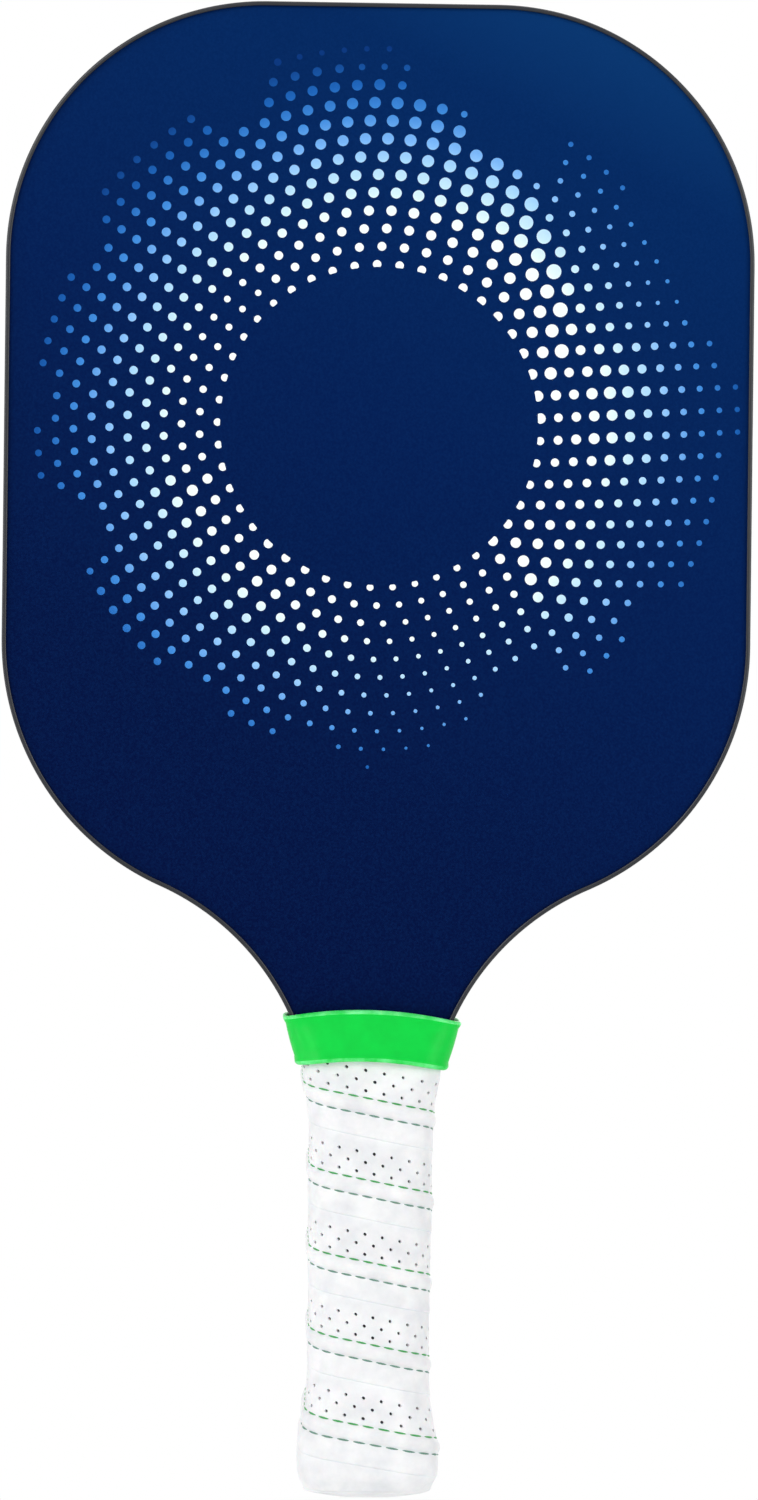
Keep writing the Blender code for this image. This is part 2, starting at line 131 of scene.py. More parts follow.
@dataclass
class Shader:
    """A material under construction, with short calls to add nodes.

    Args:
        name: the material's name.
    """

    name: str

    def __post_init__(self) -> None:
        self.material = bpy.data.materials.new(self.name)
        self.material.use_nodes = True
        self.tree = self.material.node_tree
        self.surface = self.tree.nodes["Principled BSDF"]

    def add(self, kind: str, links: dict = None, settings: dict = None, **values):
        """Add a node.

        Args:
            kind: the node's type name.
            links: input name or index to the socket that feeds it.
            settings: attributes of the node.
            values: default values of inputs, spaces written as underscores.

        Returns:
            The new node.
        """
        node = self.tree.nodes.new(kind)
        for key, value in (settings or {}).items():
            setattr(node, key, value)
        for key, value in values.items():
            node.inputs[key.replace("_", " ")].default_value = value
        for key, socket in (links or {}).items():
            self.tree.links.new(socket, node.inputs[key])
        return node

    def math(self, operation: str, first, second=0.0):
        """Add a Math node on sockets or numbers and return its output."""
        node = self.add("ShaderNodeMath", settings={"operation": operation})
        for index, value in enumerate((first, second)):
            if isinstance(value, (int, float)):
                node.inputs[index].default_value = value
            else:
                self.tree.links.new(value, node.inputs[index])
        return node.outputs[0]

    def position(self):
        """Socket with the point's coordinates in metres."""
        return self.add("ShaderNodeTexCoord").outputs["Object"]

    def noise(self, size: float, detail: float = 3.0, roughness: float = 0.55):
        """Noise whose blotches are about a size in metres across."""
        node = self.add("ShaderNodeTexNoise", {"Vector": self.position()},
                        Scale=1 / size, Detail=detail, Roughness=roughness)
        return node.outputs["Fac"]

    def ramp(self, factor, stops: tuple):
        """Colour ramp from (place, colour) stops, colours as hex or grey numbers."""
        node = self.add("ShaderNodeValToRGB", {"Fac": factor})
        elements = node.color_ramp.elements
        while len(elements) < len(stops):
            elements.new(1.0)
        for element, (place, colour) in zip(elements, stops):
            element.position = place
            grey = isinstance(colour, float)
            element.color = (colour, colour, colour, 1.0) if grey else linear(colour)
        return node.outputs["Color"]

    def mix(self, factor, first, second):
        """Mix two colours, each a socket or a hex string."""
        node = self.add("ShaderNodeMix", settings={"data_type": "RGBA"})
        self.feed(node.inputs[0], factor)
        self.feed(node.inputs[6], first)
        self.feed(node.inputs[7], second)
        return node.outputs[2]

    def feed(self, target, value) -> None:
        """Give an input a socket, a number or a hex colour."""
        if isinstance(value, str):
            target.default_value = linear(value)
        elif isinstance(value, (int, float)):
            target.default_value = value
        else:
            self.tree.links.new(value, target)

    def bump(self, height, distance: float, strength: float = 1.0, under=None):
        """Bump of a height socket, with its full depth in metres."""
        links = {"Height": height}
        if under is not None:
            links["Normal"] = under
        node = self.add("ShaderNodeBump", links, Strength=strength, Distance=distance)
        return node.outputs["Normal"]

    def finish(self, colour, roughness, normal=None, **fixed) -> bpy.types.Material:
        """Wire the surface shader.

        Args:
            colour: base colour, a socket or a hex string.
            roughness: a socket or a number.
            normal: optional normal socket.
            fixed: other inputs, each a plain value.

        Returns:
            The finished material.
        """
        self.feed(self.surface.inputs["Base Color"], colour)
        self.feed(self.surface.inputs["Roughness"], roughness)
        if normal is not None:
            self.feed(self.surface.inputs["Normal"], normal)
        for key, value in fixed.items():
            self.surface.inputs[key.replace("_", " ")].default_value = value
        return self.material


@dataclass(frozen=True)
class PrintedFace:
    """Matte UV-printed fibreglass: a navy ground and halftone ink that fades outwards."""

    # Navy ground ramp; its rise from dark to light is painted light.
    ground_stops: tuple = ((0.0, "#000B38"), (0.20, "#00103E"), (0.45, "#001A4E"),
                           (0.70, "#00255B"), (0.90, "#0C447F"))
    grain: float = 0.9 * MM
    weave: float = 0.25 * MM
    speckle: float = 0.6 * MM
    ink_shift: float = 3.0 * MM
    ink_stops: tuple = ((0.0, "#F6FDFF"), (0.24, "#EEFBFF"), (0.35, "#CBEAFE"),
                        (0.47, "#A6D4FC"), (0.58, "#76B0EF"), (0.70, "#4089D8"),
                        (0.84, "#1C60B2"), (1.0, "#083478"))

    def relief(self, shader: Shader):
        """Fine orange-peel relief of the textured ink."""
        fine = shader.noise(self.weave, 2.0)
        coarse = shader.noise(self.grain, 3.0)
        height = shader.math("ADD", fine, coarse)
        return shader.bump(height, 0.03 * MM, 0.35)

    def ground(self, low_z: float, high_z: float, half_width: float) -> bpy.types.Material:
        """Navy ground with painted light, lighter towards the head and its right-hand edge."""
        shader = Shader("navy printed fibreglass")
        parts = shader.add("ShaderNodeSeparateXYZ", {0: shader.position()})
        rise = shader.math("DIVIDE", shader.math("SUBTRACT", parts.outputs["Z"], low_z),
                           high_z - low_z)
        across = shader.math("DIVIDE", parts.outputs["X"], 2 * half_width)
        # Painted light: the light's fall up the face and a sheen at the right, painted into the
        # navy.
        tone = shader.math("ADD", shader.math("MULTIPLY", rise, 0.72),
                           shader.math("MULTIPLY", across, 0.25))
        colour = shader.ramp(tone, self.ground_stops)
        speckle = shader.ramp(shader.noise(self.speckle, 2.0), ((0.35, 0.0), (0.75, 1.0)))
        colour = shader.mix(shader.math("MULTIPLY", speckle, 0.16), colour, "#103C7A")
        roughness = shader.ramp(shader.noise(self.grain), ((0.3, 0.40), (0.7, 0.50)))
        return shader.finish(colour, roughness, self.relief(shader), IOR=1.49,
                             Specular_IOR_Level=0.03)

    def ink(self, centre: Vector, inner: float, outer: float) -> bpy.types.Material:
        """Halftone ink, white at the ring's inside and sinking into the ground outside."""
        shader = Shader("halftone ink")
        offset = shader.add("ShaderNodeVectorMath", {0: shader.position()},
                            {"operation": "SUBTRACT"})
        offset.inputs[1].default_value = centre + Vector((self.ink_shift, 0.0, 0.0))
        flat = shader.add("ShaderNodeVectorMath", {0: offset.outputs[0]},
                          {"operation": "MULTIPLY"})
        flat.inputs[1].default_value = (1.0, 0.0, 1.0)
        length = shader.add("ShaderNodeVectorMath", {0: flat.outputs[0]},
                            {"operation": "LENGTH"})
        share = shader.math("DIVIDE", shader.math("SUBTRACT", length.outputs["Value"], inner),
                            outer - inner)
        colour = shader.ramp(share, self.ink_stops)
        roughness = shader.ramp(shader.noise(self.grain), ((0.3, 0.42), (0.7, 0.52)))
        return shader.finish(colour, roughness, self.relief(shader), IOR=1.49,
                             Specular_IOR_Level=0.03)


@dataclass(frozen=True)
class MouldedPlastic:
    """A moulded thermoplastic with a fine spark-eroded grain and faint handling marks."""

    name: str
    colour: str
    shade: str
    roughness: float
    grain: float = 0.35 * MM
    depth: float = 0.02 * MM
    subsurface: float = 0.0

    def material(self) -> bpy.types.Material:
        """Build the node material."""
        shader = Shader(self.name)
        blotch = shader.noise(9 * MM, 4.0)
        colour = shader.mix(shader.ramp(blotch, ((0.35, 0.0), (0.7, 1.0))), self.colour,
                            self.shade)
        roughness = shader.ramp(shader.noise(4 * MM), ((0.3, self.roughness - 0.05),
                                                       (0.7, self.roughness + 0.06)))
        normal = shader.bump(shader.noise(self.grain, 2.0), self.depth, 0.5)
        return shader.finish(colour, roughness, normal, IOR=1.49,
                             Subsurface_Weight=self.subsurface,
                             Subsurface_Scale=1.0 * MM)


@dataclass(frozen=True)
class CushionGrip:
    """Tacky white polyurethane on a foam backing, with a fine leather-like grain."""

    colour: str = "#F4F4F5"
    shade: str = "#E3E4E7"
    grain: float = 0.55 * MM

    def material(self) -> bpy.types.Material:
        """Build the node material of the strip's face."""
        shader = Shader("white polyurethane grip")
        blotch = shader.ramp(shader.noise(6 * MM, 4.0), ((0.35, 0.0), (0.75, 1.0)))
        colour = shader.mix(blotch, self.colour, self.shade)
        cells = shader.add("ShaderNodeTexVoronoi", {"Vector": shader.position()},
                           {"feature": "DISTANCE_TO_EDGE"}, Scale=1 / self.grain)
        grain = shader.ramp(cells.outputs["Distance"], ((0.0, 0.0), (0.25, 1.0)))
        normal = shader.bump(grain, 0.03 * MM, 0.35)
        normal = shader.bump(shader.noise(2.5 * MM, 3.0), 0.15 * MM, 0.35, normal)
        roughness = shader.ramp(shader.noise(3 * MM), ((0.3, 0.50), (0.7, 0.62)))
        return shader.finish(colour, roughness, normal, IOR=1.46, Specular_IOR_Level=0.3,
                             Subsurface_Weight=0.12,
                             Subsurface_Scale=1.5 * MM)

    def hole(self) -> bpy.types.Material:
        """Dark grey with fine cells on the walls and floor of a punched hole."""
        shader = Shader("foam in a punched hole")
        cells = shader.ramp(shader.noise(0.2 * MM, 2.0), ((0.3, "#2C2C30"), (0.7, "#4A4A50")))
        return shader.finish(cells, 0.9, shader.bump(shader.noise(0.2 * MM), 0.05 * MM),
                             IOR=1.46)


@dataclass(frozen=True)
class SewingThread:
    """Bonded polyester thread with its twist."""

    name: str
    colour: str
    shade: str
    twist: float = 0.35 * MM

    def material(self) -> bpy.types.Material:
        """Build the node material."""
        shader = Shader(self.name)
        wave = shader.add("ShaderNodeTexWave", {"Vector": shader.position()},
                          {"bands_direction": "DIAGONAL"}, Scale=1 / self.twist / 3,
                          Distortion=1.5, Detail=1.0)
        colour = shader.mix(wave.outputs["Fac"], self.shade, self.colour)
        normal = shader.bump(wave.outputs["Fac"], 0.05 * MM, 0.6)
        return shader.finish(colour, 0.6, normal, IOR=1.5, Sheen_Weight=0.3)


@dataclass(frozen=True)
class Silicone:
    """Dyed silicone rubber: satin, slightly translucent, with a dusting of fine dust."""

    colour: str = "#00D444"
    shade: str = "#00CC40"

    # Paler green of the beads: a painted highlight along the collar's rims.
    bead_colour: str = "#7BFA9C"

    def material(self) -> bpy.types.Material:
        """Build the node material of the band."""
        return self.rubber("green silicone rubber", self.colour, self.shade)

    def bead_material(self) -> bpy.types.Material:
        """Build the node material of the beads: a paler green, painted as a highlight along the
        rims.
        """
        return self.rubber("green silicone bead", self.bead_colour, self.colour)

    def rubber(self, name: str, colour: str, shade: str) -> bpy.types.Material:
        """Build the rubber in one colour, used for the band and for the beads' painted
        highlight.
        """
        shader = Shader(name)
        blotch = shader.ramp(shader.noise(5 * MM, 3.0), ((0.35, 0.0), (0.7, 1.0)))
        mixed = shader.mix(blotch, colour, shade)
        normal = shader.bump(shader.noise(0.3 * MM, 2.0), 0.02 * MM, 0.5)
        roughness = shader.ramp(shader.noise(2 * MM), ((0.3, 0.36), (0.7, 0.48)))
        return shader.finish(mixed, roughness, normal, IOR=1.41, Specular_IOR_Level=0.25,
                             Subsurface_Weight=0.15,
                             Subsurface_Scale=2.0 * MM)


@dataclass(frozen=True)
class ZincWire:
    """Zinc-plated staple wire, drawn along its length."""

    def material(self) -> bpy.types.Material:
        """Build the node material."""
        shader = Shader("zinc plated staple wire")
        streak = shader.noise(0.4 * MM, 4.0)
        colour = shader.ramp(streak, ((0.3, "#A9ABAE"), (0.7, "#C9CBCE")))
        roughness = shader.ramp(streak, ((0.3, 0.28), (0.7, 0.40)))
        return shader.finish(colour, roughness, shader.bump(streak, 0.02 * MM, 0.4),
                             Metallic=1.0)


# Meshes


def make_piece(name: str, points: list, faces: list, materials: list, slots: list = None,
               smooth_angle: float = 40.0) -> bpy.types.Object:
    """Make a mesh object.

    Args:
        name: the object's name.
        points: vertex positions in metres.
        faces: vertex index lists.
        materials: materials in slot order.
        slots: material index of each face, or None for the first.
        smooth_angle: edges sharper than this many degrees stay sharp; 0 keeps it flat.

    Returns:
        The new object, linked to the scene.
    """
    mesh = bpy.data.meshes.new(name)
    mesh.from_pydata([tuple(point) for point in points], [], faces)
    for material in materials:
        mesh.materials.append(material)
    if slots is not None:
        mesh.polygons.foreach_set("material_index", slots)
    edit = bmesh.new()
    edit.from_mesh(mesh)
    bmesh.ops.recalc_face_normals(edit, faces=edit.faces)
    edit.to_mesh(mesh)
    edit.free()
    if smooth_angle:
        mesh.shade_smooth()
        mesh.set_sharp_from_angle(angle=math.radians(smooth_angle))
    mesh.update()
    piece = bpy.data.objects.new(name, mesh)
    bpy.context.scene.collection.objects.link(piece)
    return piece


def place(piece: bpy.types.Object, slot: str, nodes: tuple = ()) -> None:
    """Fix a piece to the frame, in place of its CAD nodes."""
    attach(piece, ROOT)
    if nodes:
        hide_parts(*nodes)
    LOG.info("%s: %d vertices, in place of %s", piece.name, len(piece.data.vertices),
             ", ".join(nodes) or "no node")


def skin_rings(rings: list, closed: bool) -> tuple:
    """Join a stack of equal rings into quads.

    Args:
        rings: lists of points, all the same length.
        closed: True joins the last ring to the first; False caps both ends.

    Returns:
        Points and faces.
    """
    count = len(rings[0])
    points = [point for ring in rings for point in ring]
    faces = []
    pairs = len(rings) if closed else len(rings) - 1
    for row in range(pairs):
        low = row * count
        high = (row + 1) % len(rings) * count
        for index in range(count):
            following = (index + 1) % count
            faces.append((low + index, low + following, high + following, high + index))
    if not closed:
        faces.append(tuple(range(count)))
        faces.append(tuple(range((len(rings) - 1) * count, len(rings) * count)))
    return points, faces


def interpolate(table: tuple, place_at: float) -> float:
    """Read (place, value) pairs at a place with smooth steps, level beyond the ends."""
    if place_at <= table[0][0]:
        return table[0][1]
    for (low, first), (high, second) in zip(table, table[1:]):
        if place_at <= high:
            share = (place_at - low) / (high - low)
            return first + share * (second - first)
    return table[-1][1]


def smooth_read(table: tuple, place_at: float, reach: float) -> float:
    """Read a table averaged over a short reach, so that its corners are rounded."""
    samples = (-1.0, -0.5, 0.0, 0.5, 1.0)
    return sum(interpolate(table, place_at + reach * step) for step in samples) / len(samples)


# Outline of the panel and the guard


@dataclass(frozen=True)
class PaddleOutline:
    """Front outline over the guard: arcs at the neck, the shoulder and the head's corners.

    Args:
        length: overall length.
        width: width of the head.
        corner_radius: top corners.
        shoulder_radius: lower, outward curves of the head.
        neck_radius: inward curves at the neck.
        tongue_width: width between the neck curves where they end.
        neck_foot: height where the neck curves end.
        step: largest arc step in degrees.
    """

    length: float
    width: float
    corner_radius: float = 70.0 * MM
    shoulder_radius: float = 72.5 * MM
    neck_radius: float = 70.0 * MM
    tongue_width: float = 32.0 * MM
    neck_foot: float = 100.7 * MM
    step: float = 1.5

    def centres(self) -> tuple:
        """Centres of the neck, shoulder and corner arcs of the right half."""
        neck = (self.tongue_width / 2 + self.neck_radius, self.neck_foot)
        shoulder_x = self.width / 2 - self.shoulder_radius
        reach = self.neck_radius + self.shoulder_radius
        rise = math.sqrt(reach ** 2 - (neck[0] - shoulder_x) ** 2)
        corner = (self.width / 2 - self.corner_radius, self.length - self.corner_radius)
        return neck, (shoulder_x, self.neck_foot + rise), corner

    def arc(self, centre: tuple, radius: float, start: float, end: float, turn: int) -> list:
        """Points (x, z) of an arc with their outward normals."""
        steps = max(2, math.ceil(abs(end - start) / self.step))
        points = []
        for index in range(steps + 1):
            angle = math.radians(start + (end - start) * index / steps)
            direction = (math.cos(angle), math.sin(angle))
            place_at = (centre[0] + radius * direction[0], centre[1] + radius * direction[1])
            points.append((*place_at, turn * direction[0], turn * direction[1]))
        return points

    def half(self, foot: float) -> list:
        """Right half of the outline from a height on the neck to the top's middle."""
        neck, shoulder, corner = self.centres()
        turn = math.degrees(math.atan2(shoulder[1] - neck[1], neck[0] - shoulder[0]))
        start = 180.0 - math.degrees(math.asin((foot - neck[1]) / self.neck_radius))
        points = self.arc(neck, self.neck_radius, start, 180.0 - turn, -1)
        points += self.arc(shoulder, self.shoulder_radius, -turn, 0.0, 1)[1:]
        points += self.arc(corner, self.corner_radius, 0.0, 90.0, 1)
        return points

    def whole(self, foot: float) -> list:
        """Outline from the right of the neck, over the head, to the left of the neck."""
        half = self.half(foot)
        mirrored = [(-x, z, -normal_x, normal_z) for x, z, normal_x, normal_z in half]
        return half + mirrored[::-1]

    def inset(self, foot: float, inset: float) -> list:
        """Points (x, z) of the outline drawn in by an inset."""
        return [(x - nx * inset, z - nz * inset) for x, z, nx, nz in self.whole(foot)]


# Sub-assemblies


@dataclass(frozen=True)
class HalftoneRing:
    """Printed ring of dots: concentric rows, each with the same number of dots more.

    Args:
        height: height of the ring's centre.
        pitch: distance between rows, and about between dots.
        first_row: row number of the innermost row, so its radius is first_row * pitch.
        last_row: row number of the outermost row.
        dots_per_row: dots added by each row.
        start: angle of each row's first dot, in degrees from +X towards +Z.
        clip: radius of the bare disc that cuts into the innermost dots.
        sides: corners of a dot's outline.
        thin_at: angle at which the dots are smallest.
        thin_loss: diameter lost there, in mm.
    """

    height: float = 290.0 * MM
    pitch: float = 4.865 * MM
    first_row: int = 9
    last_row: int = 21
    dots_per_row: int = 5
    start: float = 3.4
    clip: float = 43.1 * MM
    sides: int = 18
    thin_at: float = 282.0
    thin_loss: float = 0.95

    # Blades of larger dots, each with a sharp clockwise edge: angle of the edge in the first
    # row, twist in degrees a row, fall-off angle behind it, middle row, spread in rows and
    # added diameter in mm. A negative gain leaves a zone of smaller dots.
    blades: tuple = ((5.0, 8.5, 60.0, 14.5, 6.0, 1.95), (354.0, 0.0, 34.0, 12.8, 2.4, 0.95),
                     (315.0, 0.0, 16.0, 11.5, 3.2, 1.30), (197.0, 0.0, 18.0, 11.2, 1.7, 1.10),
                     (227.0, 1.5, 24.0, 10.8, 2.6, 0.65), (128.0, 4.0, 40.0, 10.5, 1.8, -0.60),
                     (23.0, 0.0, 28.0, 16.8, 2.6, -0.70),
                     (8.0, 0.0, 13.0, 13.5, 2.4, 0.60), (78.0, 0.0, 60.0, 18.5, 2.4, 0.55),
                     (204.0, 1.0, 22.0, 17.5, 2.0, 0.60))
    # Reach of the ring by angle: (degrees, outermost row).
    reach: tuple = ((0.0, 20.4), (10.0, 20.0), (20.0, 18.2), (40.0, 18.4), (43.0, 19.3),
                    (57.0, 19.0), (58.0, 16.4), (72.0, 16.6), (75.0, 18.2), (84.0, 18.4),
                    (86.0, 21.3), (108.0, 21.2), (112.0, 18.4), (120.0, 18.6), (122.0, 20.2),
                    (142.0, 20.0), (145.0, 18.2), (153.0, 18.4), (155.0, 19.6),
                    (170.0, 19.4), (172.0, 18.2), (180.0, 18.4), (182.0, 19.6), (192.0, 19.2),
                    (196.0, 16.4), (204.0, 16.4), (206.0, 18.6), (228.0, 18.3), (233.0, 17.2),
                    (242.0, 17.0), (244.0, 18.6), (262.0, 17.6), (266.0, 19.3), (280.0, 18.6),
                    (296.0, 15.4), (306.0, 15.6), (308.0, 18.6), (328.0, 17.6), (334.0, 19.4),
                    (352.0, 19.2), (360.0, 20.4))
    # Plain diameter by row, in mm.
    plain: tuple = ((9.0, 2.10), (13.0, 2.10), (16.0, 1.85), (18.0, 1.60), (21.0, 1.35))

    def centre(self) -> Vector:
        """Centre of the ring."""
        return Vector((0.0, 0.0, self.height))

    def diameter(self, row: int, angle: float) -> float:
        """Diameter of a dot, or 0 where the print has none."""
        if row > interpolate(self.reach, angle % 360):
            return 0.0
        size = interpolate(self.plain, row)
        for at, twist, fall, middle, spread, gain in self.blades:
            behind = (angle - at - twist * (row - self.first_row) + 20) % 360 - 20
            share = math.exp(-(behind / 3.0) ** 2) if behind < 0 else math.exp(-behind / fall)
            size += gain * share * math.exp(-((row - middle) / spread) ** 2)
        lowest = math.exp(-(((angle - self.thin_at) / 24) ** 2))
        size -= lowest * min(1.0, 0.45 + 0.15 * (row - self.first_row)) * self.thin_loss
        return max(0.8, size) * MM

    def dots(self) -> list:
        """Outlines of the dots as lists of (x, z)."""
        outlines = []
        for row in range(self.first_row, self.last_row + 1):
            count = self.dots_per_row * row
            for index in range(count):
                angle = self.start + 360 * index / count
                diameter = self.diameter(row, angle)
                if diameter:
                    outlines.append(self.dot(row * self.pitch, math.radians(angle), diameter))
        return outlines

    def dot(self, radius: float, angle: float, diameter: float) -> list:
        """One dot's outline, cut by the bare disc."""
        outline = []
        for corner in range(self.sides):
            turn = 2 * math.pi * corner / self.sides
            x = radius * math.cos(angle) + diameter / 2 * math.cos(turn)
            z = radius * math.sin(angle) + diameter / 2 * math.sin(turn)
            away = math.hypot(x, z)
            if away < self.clip:
                x *= self.clip / away
                z *= self.clip / away
            outline.append((x, z + self.height))
        return outline


@dataclass
class FaceSkin:
    """One printed face skin, with its dots as faces of the same flat surface.

    Args:
        side: front or back.
        outline: the paddle's outline.
        finish: printed finish.
        ring: the printed ring.
        inset: distance of the skin's edge inside the guard's outer edge.
        margin: distance that dots keep from the skin's edge.
    """

    side: Side
    outline: PaddleOutline
    finish: PrintedFace
    ring: HalftoneRing
    inset: float = 1.0 * MM
    margin: float = 1.2 * MM

    @property
    def node(self) -> str:
        """Name of the CAD node that this face stands for."""
        return f"{self.side.name.lower()}_face_skin"

    def build(self) -> bpy.types.Object:
        """Build the skin as a closed plate with the dots set into its outer surface."""
        low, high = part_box(self.node)
        foot_width = self.outline.tongue_width / 2 - self.inset
        neck_foot = self.outline.neck_foot
        border = [(-foot_width, low.z), (foot_width, low.z)]
        border += self.outline.inset(neck_foot, self.inset)
        limit = self.outline.width / 2 - self.inset - self.margin
        dots = [dot for dot in self.ring.dots() if max(abs(x) for x, _ in dot) < limit]
        flat = [Vector(point) for point in border]
        loops = [list(range(len(border)))]
        for dot in dots:
            loops.append(list(range(len(flat), len(flat) + len(dot))))
            flat += [Vector(point) for point in dot]
        result = delaunay_2d_cdt(flat, [], loops, 1, 1e-7, True)
        surface = result[0]
        inside = [(list(face), owner) for face, owner in zip(result[2], result[5]) if owner]
        faces = [face for face, _ in inside]
        slots = [1 if max(owner) > 0 else 0 for _, owner in inside]
        outer = low.y if self.side is Side.FRONT else high.y
        inner = high.y if self.side is Side.FRONT else low.y
        points = [(point.x, outer, point.y) for point in surface]
        back_start = len(points)
        points += [(x, inner, z) for x, z in border]
        ring_of = {}
        for index, origins in enumerate(result[3]):
            for origin in origins:
                if origin < len(border):
                    ring_of[origin] = index
        count = len(border)
        for index in range(count):
            following = (index + 1) % count
            faces.append([ring_of[index], ring_of[following], back_start + following,
                          back_start + index])
        faces.append(list(range(back_start, back_start + count)))
        slots += [0] * (count + 1)
        half_width = self.outline.width / 2
        ground = self.finish.ground(self.outline.neck_foot, high.z, half_width)
        ink = self.finish.ink(self.ring.centre(), self.ring.first_row * self.ring.pitch,
                              self.ring.last_row * self.ring.pitch)
        piece = make_piece(f"{self.node}_printed", points, faces, [ground, ink], slots, 0)
        place(piece, "face", (self.node,))
        return piece


@dataclass
class EdgeGuard:
    """Low-profile guard: a channel swept around the panel.

    Args:
        outline: the paddle's outline.
        finish: plastic finish.
        wall: thickness of the channel's floor.
        lip: reach of each lip over the face, from the outer edge.
        lip_thickness: thickness of a lip.
        rounding: radius of the outer edges.
    """

    outline: PaddleOutline
    finish: MouldedPlastic
    wall: float = 0.6 * MM
    lip: float = 1.25 * MM
    lip_thickness: float = 0.7 * MM
    rounding: float = 0.65 * MM
    steps: int = 5

    def profile(self, half_depth: float) -> list:
        """Closed section as (inset, depth) points, starting at the front lip's tip."""
        inner = half_depth - self.lip_thickness
        tip = self.lip_thickness / 2
        half = []
        for step in range(self.steps + 1):
            angle = math.radians(-90 + 180 * step / self.steps)
            half.append((self.lip - tip + tip * math.cos(angle),
                         inner + tip + tip * math.sin(angle)))
        half.append((self.lip * 0.62, half_depth))
        for step in range(self.steps + 1):
            angle = math.radians(90 + 90 * step / self.steps)
            half.append((self.rounding + self.rounding * math.cos(angle),
                         half_depth - self.rounding + self.rounding * math.sin(angle)))
        upper = [(self.wall, inner)] + half
        lower = [(inset, -depth) for inset, depth in reversed(upper)]
        return upper + lower

    def build(self) -> bpy.types.Object:
        """Sweep the profile around the outline."""
        low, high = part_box("edge_guard")
        profile = self.profile(high.y)
        rings = []
        for x, z, normal_x, normal_z in self.outline.whole(low.z):
            rings.append([(x - normal_x * inset, -depth, z - normal_z * inset)
                          for inset, depth in profile])
        points, faces = skin_rings(rings, closed=False)
        piece = make_piece("edge_guard_channel", points, faces, [self.finish.material()])
        place(piece, "guard", ("edge_guard",))
        return piece


@dataclass(frozen=True)
class HandleSection:
    """Rounded rectangle around the handle at a height.

    Args:
        half_width: half the size along X.
        half_depth: half the size along Y.
        radius: corner radius.
    """

    half_width: float
    half_depth: float
    radius: float

    def grown(self, offset: float) -> "HandleSection":
        """The section moved outwards by an offset."""
        return HandleSection(self.half_width + offset, self.half_depth + offset,
                             self.radius + offset)

    def point(self, around: float) -> tuple:
        """Point and outward normal at a share of the way around.

        Args:
            around: 0 at the middle of the left side, rising over the front to the right.

        Returns:
            x, y, normal x and normal y.
        """
        side = self.half_depth - self.radius
        front = self.half_width - self.radius
        corner = math.pi / 2 * self.radius
        total = 4 * (side + front + corner)
        quarter, share = divmod(around % 1.0 * 4, 1.0)
        mirrored = quarter % 2 == 1
        along = (1 - share if mirrored else share) * total / 4
        if along < side:
            x, y, nx, ny = -self.half_width, -along, -1.0, 0.0
        elif along < side + corner:
            angle = (along - side) / self.radius
            nx, ny = -math.cos(angle), -math.sin(angle)
            x, y = -front + self.radius * nx, -side + self.radius * ny
        else:
            x, y, nx, ny = -front + (along - side - corner), -self.half_depth, 0.0, -1.0
        if quarter in (1, 2):
            x, nx = -x, -nx
        if quarter in (2, 3):
            y, ny = -y, -ny
        return x, y, nx, ny

    def perimeter(self) -> float:
        """Length around the section."""
        straight = self.half_width + self.half_depth - 2 * self.radius
        return 4 * straight + 2 * math.pi * self.radius

    def ring(self, height: float, steps: int) -> list:
        """Closed ring of points at a height."""
        ring = []
        for index in range(steps):
            x, y, _, _ = self.point(index / steps)
            ring.append((x, y, height))
        return ring


@dataclass(frozen=True)
class HandleShape:
    """Outer shape of the wound grip by height, over the butt cap's flare and the neck."""

    half_width: tuple = ((0.0030, 0.0169), (0.0046, 0.0181), (0.0073, 0.0188),
                         (0.0127, 0.0188), (0.0165, 0.0184), (0.0208, 0.0175),
                         (0.0262, 0.0167), (0.0310, 0.0162), (0.0560, 0.0161),
                         (0.0700, 0.0164), (0.1000, 0.0165), (0.1075, 0.0171),
                         (0.1130, 0.0183), (0.1165, 0.0186), (0.1200, 0.0194))
    half_depth: tuple = ((0.0030, 0.0160), (0.0046, 0.0173), (0.0073, 0.0180),
                         (0.0127, 0.0180), (0.0165, 0.0176), (0.0208, 0.0166),
                         (0.0262, 0.0157), (0.0310, 0.0151), (0.1090, 0.0151),
                         (0.1130, 0.0147), (0.1160, 0.0141), (0.1200, 0.0142))
    radius: tuple = ((0.1080, 0.0086), (0.1165, 0.0058))
    easing: float = 1.2 * MM

    def section(self, height: float) -> HandleSection:
        """Section of the grip at a height."""
        return HandleSection(smooth_read(self.half_width, height, self.easing),
                             smooth_read(self.half_depth, height, self.easing),
                             smooth_read(self.radius, height, self.easing))


